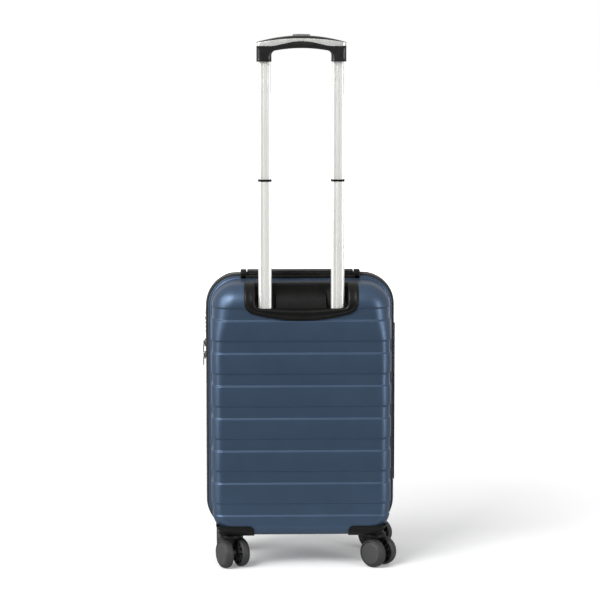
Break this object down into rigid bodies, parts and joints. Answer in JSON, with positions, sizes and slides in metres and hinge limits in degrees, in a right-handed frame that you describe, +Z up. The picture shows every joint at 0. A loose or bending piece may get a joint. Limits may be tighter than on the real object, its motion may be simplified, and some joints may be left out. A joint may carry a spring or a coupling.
{
  "type": "hard shell suitcase",
  "caption": "Hard shell cabin suitcase with ribbed half shells, a telescopic trolley handle, a top carry handle, a zipped opening with a combination lock and twin wheel spinner casters.",
  "frame": {"origin": "on the floor under the middle of the case, in the seam plane between the two shells", "axes": "+X across the width to the hinge side, +Y towards the lid, -Y is the trolley handle side, +Z up"},
  "size_m": [0.3645, 0.2301, 0.998],
  "materials": {
    "shell": "satin",
    "tape": "woven",
    "lining": "woven",
    "webbing": "woven",
    "tube_aluminium": "satin",
    "trim_metal": "metallic",
    "steel": "satin",
    "grey_plastic": "satin",
    "black_plastic": "satin",
    "tread": "matte"
  },
  "bodies": {
    "case": {"back_shell": "shell", "back_zipper_tape": "tape", "hinge_tape_case": "tape", "handle_housing": "black_plastic", "housing_screws": "steel", "sleeve_tube_left": "tube_aluminium", "sleeve_tube_right": "tube_aluminium", "tube_foot": "black_plastic", "carry_handle_base": "black_plastic", "back_liner": "lining", "back_liner_panel": "lining", "packing_straps": "webbing", "strap_buckles": "black_plastic", "caster_housing_rl": "black_plastic", "caster_housing_rr": "black_plastic"},
    "lid": {"front_shell": "shell", "front_zipper_tape": "tape", "hinge_tape_lid": "tape", "front_liner": "lining", "lock_body": "black_plastic", "caster_housing_fl": "black_plastic", "caster_housing_fr": "black_plastic"},
    "divider": {"divider_panel": "lining"},
    "middle_stage": {"middle_tube_left": "tube_aluminium", "middle_tube_right": "tube_aluminium", "middle_collars": "black_plastic"},
    "grip_stage": {"inner_tube_left": "tube_aluminium", "inner_tube_right": "tube_aluminium", "grip_body": "black_plastic", "grip_trim": "trim_metal"},
    "release": {"grip_button": "grey_plastic", "release_rods": "steel"},
    "latch_left": {"latch_pin_left": "steel"},
    "latch_right": {"latch_pin_right": "steel"},
    "carry": {"carry_handle": "black_plastic"},
    "upper_slider": {"zipper_slider_upper": "steel"},
    "lower_slider": {"zipper_slider_lower": "steel"},
    "upper_pull": {"zipper_pull_upper": "black_plastic"},
    "lower_pull": {"zipper_pull_lower": "black_plastic"},
    "dial_1": {"lock_dial_1": "grey_plastic"},
    "dial_2": {"lock_dial_2": "grey_plastic"},
    "dial_3": {"lock_dial_3": "grey_plastic"},
    "lock_release": {"lock_button": "grey_plastic"},
    "key": {"key_cylinder": "steel"},
    "fork_rl": {"caster_fork_rl": "black_plastic", "caster_axle_rl": "steel"},
    "wheel_rl_a": {"wheel_rl_a": "tread"},
    "wheel_rl_b": {"wheel_rl_b": "tread"},
    "fork_rr": {"caster_fork_rr": "black_plastic", "caster_axle_rr": "steel"},
    "wheel_rr_a": {"wheel_rr_a": "tread"},
    "wheel_rr_b": {"wheel_rr_b": "tread"},
    "fork_fl": {"caster_fork_fl": "black_plastic", "caster_axle_fl": "steel"},
    "wheel_fl_a": {"wheel_fl_a": "tread"},
    "wheel_fl_b": {"wheel_fl_b": "tread"},
    "fork_fr": {"caster_fork_fr": "black_plastic", "caster_axle_fr": "steel"},
    "wheel_fr_a": {"wheel_fr_a": "tread"},
    "wheel_fr_b": {"wheel_fr_b": "tread"}
  },
  "joints": [
    {"name": "lid_hinge", "type": "hinge", "parent": "case", "child": "lid", "pos_m": [0.1792, 0, 0.3], "axis": [0, 0, -1], "range_deg": [0, 180]},
    {"name": "divider_swing", "type": "hinge", "parent": "lid", "child": "divider", "pos_m": [0.155, 0.0029, 0.3], "axis": [0, 0, -1], "range_deg": [-90, 0]},
    {"name": "handle_lower_slide", "type": "slide", "parent": "case", "child": "middle_stage", "axis": [0, 0, 1], "range_m": [-0.235, 0]},
    {"name": "handle_upper_slide", "type": "slide", "parent": "middle_stage", "child": "grip_stage", "axis": [0, 0, 1], "range_m": [-0.2155, 0]},
    {"name": "grip_button_press", "type": "slide", "parent": "grip_stage", "child": "release", "axis": [0, 0, -1], "range_m": [0, 0.004], "stiffness_N_per_m": 600, "springref_m": -0.003},
    {"name": "latch_left_slide", "type": "slide", "parent": "grip_stage", "child": "latch_left", "axis": [1, 0, 0], "range_m": [0, 0.0022]},
    {"name": "latch_right_slide", "type": "slide", "parent": "grip_stage", "child": "latch_right", "axis": [-1, 0, 0], "range_m": [0, 0.0022]},
    {"name": "carry_handle_lift", "type": "slide", "parent": "case", "child": "carry", "axis": [0, 0, 1], "range_m": [0, 0.012]},
    {"name": "upper_slider_run", "type": "slide", "parent": "case", "child": "upper_slider", "axis": [0, 0, 1], "range_m": [0, 0.06]},
    {"name": "lower_slider_run", "type": "slide", "parent": "case", "child": "lower_slider", "axis": [0, 0, 1], "range_m": [-0.25, 0]},
    {"name": "upper_pull_swing", "type": "hinge", "parent": "upper_slider", "child": "upper_pull", "pos_m": [-0.1815, 0, 0.4136], "axis": [0, 1, 0], "range_deg": [0, 165]},
    {"name": "lower_pull_swing", "type": "hinge", "parent": "lower_slider", "child": "lower_pull", "pos_m": [-0.1815, 0, 0.3896], "axis": [0, 1, 0], "range_deg": [0, 110]},
    {"name": "dial_1_turn", "type": "hinge", "parent": "lid", "child": "dial_1", "pos_m": [-0.1728, 0.032, 0.4306], "axis": [0, 0, 1], "continuous": true},
    {"name": "dial_2_turn", "type": "hinge", "parent": "lid", "child": "dial_2", "pos_m": [-0.1728, 0.032, 0.4386], "axis": [0, 0, 1], "continuous": true},
    {"name": "dial_3_turn", "type": "hinge", "parent": "lid", "child": "dial_3", "pos_m": [-0.1728, 0.032, 0.4466], "axis": [0, 0, 1], "continuous": true},
    {"name": "lock_release_slide", "type": "slide", "parent": "lid", "child": "lock_release", "axis": [0, 0, 1], "range_m": [0, 0.0042], "stiffness_N_per_m": 300, "springref_m": -0.002},
    {"name": "key_turn", "type": "hinge", "parent": "lid", "child": "key", "pos_m": [-0.178, 0.032, 0.4666], "axis": [-1, 0, 0], "range_deg": [0, 90]},
    {"name": "rear_left_swivel", "type": "hinge", "parent": "case", "child": "fork_rl", "pos_m": [-0.1345, -0.071, 0.0634], "axis": [0, 0, 1], "continuous": true},
    {"name": "rear_left_wheel_a_roll", "type": "hinge", "parent": "fork_rl", "child": "wheel_rl_a", "pos_m": [-0.12837, -0.08414, 0.027], "axis": [0.9063, 0.4226, 0], "continuous": true},
    {"name": "rear_left_wheel_b_roll", "type": "hinge", "parent": "fork_rl", "child": "wheel_rl_b", "pos_m": [-0.12837, -0.08414, 0.027], "axis": [0.9063, 0.4226, 0], "continuous": true},
    {"name": "rear_right_swivel", "type": "hinge", "parent": "case", "child": "fork_rr", "pos_m": [0.1345, -0.071, 0.0634], "axis": [0, 0, 1], "continuous": true},
    {"name": "rear_right_wheel_a_roll", "type": "hinge", "parent": "fork_rr", "child": "wheel_rr_a", "pos_m": [0.14528, -0.0807, 0.027], "axis": [0.6691, 0.7431, 0], "continuous": true},
    {"name": "rear_right_wheel_b_roll", "type": "hinge", "parent": "fork_rr", "child": "wheel_rr_b", "pos_m": [0.14528, -0.0807, 0.027], "axis": [0.6691, 0.7431, 0], "continuous": true},
    {"name": "front_left_swivel", "type": "hinge", "parent": "lid", "child": "fork_fl", "pos_m": [-0.1345, 0.071, 0.0634], "axis": [0, 0, 1], "continuous": true},
    {"name": "front_left_wheel_a_roll", "type": "hinge", "parent": "fork_fl", "child": "wheel_fl_a", "pos_m": [-0.13399, 0.05651, 0.027], "axis": [0.9994, 0.0349, 0], "continuous": true},
    {"name": "front_left_wheel_b_roll", "type": "hinge", "parent": "fork_fl", "child": "wheel_fl_b", "pos_m": [-0.13399, 0.05651, 0.027], "axis": [0.9994, 0.0349, 0], "continuous": true},
    {"name": "front_right_swivel", "type": "hinge", "parent": "lid", "child": "fork_fr", "pos_m": [0.1345, 0.071, 0.0634], "axis": [0, 0, 1], "continuous": true},
    {"name": "front_right_wheel_a_roll", "type": "hinge", "parent": "fork_fr", "child": "wheel_fr_a", "pos_m": [0.14706, 0.06375, 0.027], "axis": [0.5, 0.866, 0], "continuous": true},
    {"name": "front_right_wheel_b_roll", "type": "hinge", "parent": "fork_fr", "child": "wheel_fr_b", "pos_m": [0.14706, 0.06375, 0.027], "axis": [0.5, 0.866, 0], "continuous": true}
  ],
  "couplings": [
    {"joint": "divider_swing", "follows": "lid_hinge", "ratio": -0.5}
  ]
}
